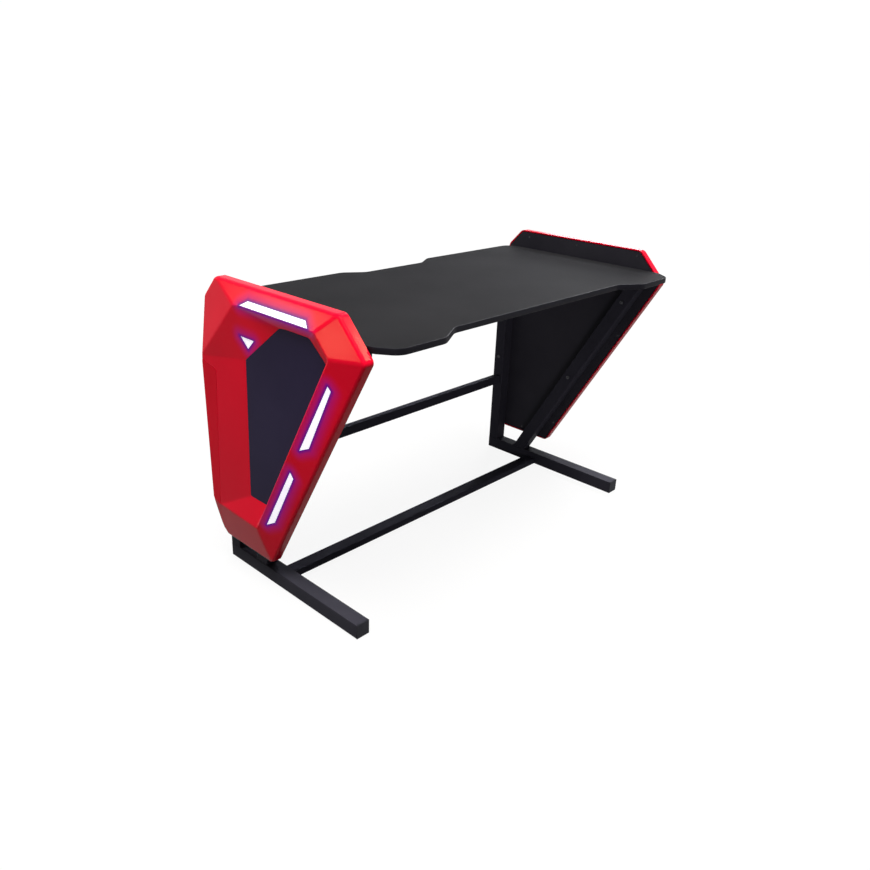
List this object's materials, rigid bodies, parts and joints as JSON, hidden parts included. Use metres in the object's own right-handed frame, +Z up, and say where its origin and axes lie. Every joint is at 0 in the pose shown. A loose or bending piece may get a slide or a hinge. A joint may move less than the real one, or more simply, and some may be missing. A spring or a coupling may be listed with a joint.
{
  "type": "gaming desk",
  "caption": "Gaming desk with a notched black worktop between faceted lit red side panels on a black square tube frame with levelling glides.",
  "frame": {"origin": "on the floor, under the middle of the desk's box", "axes": "+X to the user's right, +Y to the back, +Z up"},
  "size_m": [1.262, 0.626, 0.81],
  "materials": {
    "worktop_black": "satin charcoal laminate on board",
    "edge_black": "matt black edge band",
    "frame_black": "satin black powder coat",
    "cover_red": "glossy red moulding",
    "trim_red": "glossy deep red strip",
    "inlay_dark": "glossy near-black navy plate",
    "light_white": "milky white diffuser",
    "board_black": "matt black laminate on board",
    "screw_black": "black oxide",
    "steel": "bright zinc",
    "cap_black": "matt black moulding",
    "led_board": "white light board"
  },
  "bodies": {
    "desk": {"desktop": "worktop_black", "desktop_edge_band": "edge_black", "desktop_screws": "screw_black", "floor_stretcher": "frame_black", "foot_end_caps": "cap_black", "front_cross_rail": "frame_black", "glide_nuts": "steel", "left_cover": "cover_red", "left_cover_screws": "screw_black", "left_diagonal_tube": "frame_black", "left_foot_tube": "frame_black", "left_front_lower_light": "light_white", "left_front_upper_light": "light_white", "left_inlay": "inlay_dark", "left_led_boards": "led_board", "left_led_controller": "cap_black", "left_panel_board": "board_black", "left_panel_bolts": "screw_black", "left_panel_inserts": "steel", "left_post_tube": "frame_black", "left_power_inlet": "cap_black", "left_rear_trim": "trim_red", "left_top_light": "light_white", "left_top_rail": "frame_black", "left_triangle_light": "light_white", "rail_stubs": "steel", "rear_cross_rail": "frame_black", "rear_stretcher": "frame_black", "right_cover": "cover_red", "right_cover_screws": "screw_black", "right_diagonal_tube": "frame_black", "right_foot_tube": "frame_black", "right_front_lower_light": "light_white", "right_front_upper_light": "light_white", "right_inlay": "inlay_dark", "right_led_boards": "led_board", "right_led_controller": "cap_black", "right_panel_board": "board_black", "right_panel_bolts": "screw_black", "right_panel_inserts": "steel", "right_post_tube": "frame_black", "right_power_inlet": "cap_black", "right_rear_trim": "trim_red", "right_top_light": "light_white", "right_top_rail": "frame_black", "right_triangle_light": "light_white", "top_rail_end_caps": "cap_black"},
    "front_left_glide": {"front_left_glide": "cap_black"},
    "front_right_glide": {"front_right_glide": "cap_black"},
    "rear_left_glide": {"rear_left_glide": "cap_black"},
    "rear_right_glide": {"rear_right_glide": "cap_black"}
  },
  "joints": [
    {"name": "front_left_glide_screw", "type": "slide", "parent": "desk", "child": "front_left_glide", "axis": [0, 0, -1], "range_m": [0, 0.01]},
    {"name": "front_right_glide_screw", "type": "slide", "parent": "desk", "child": "front_right_glide", "axis": [0, 0, -1], "range_m": [0, 0.01]},
    {"name": "rear_left_glide_screw", "type": "slide", "parent": "desk", "child": "rear_left_glide", "axis": [0, 0, -1], "range_m": [0, 0.01]},
    {"name": "rear_right_glide_screw", "type": "slide", "parent": "desk", "child": "rear_right_glide", "axis": [0, 0, -1], "range_m": [0, 0.01]}
  ]
}
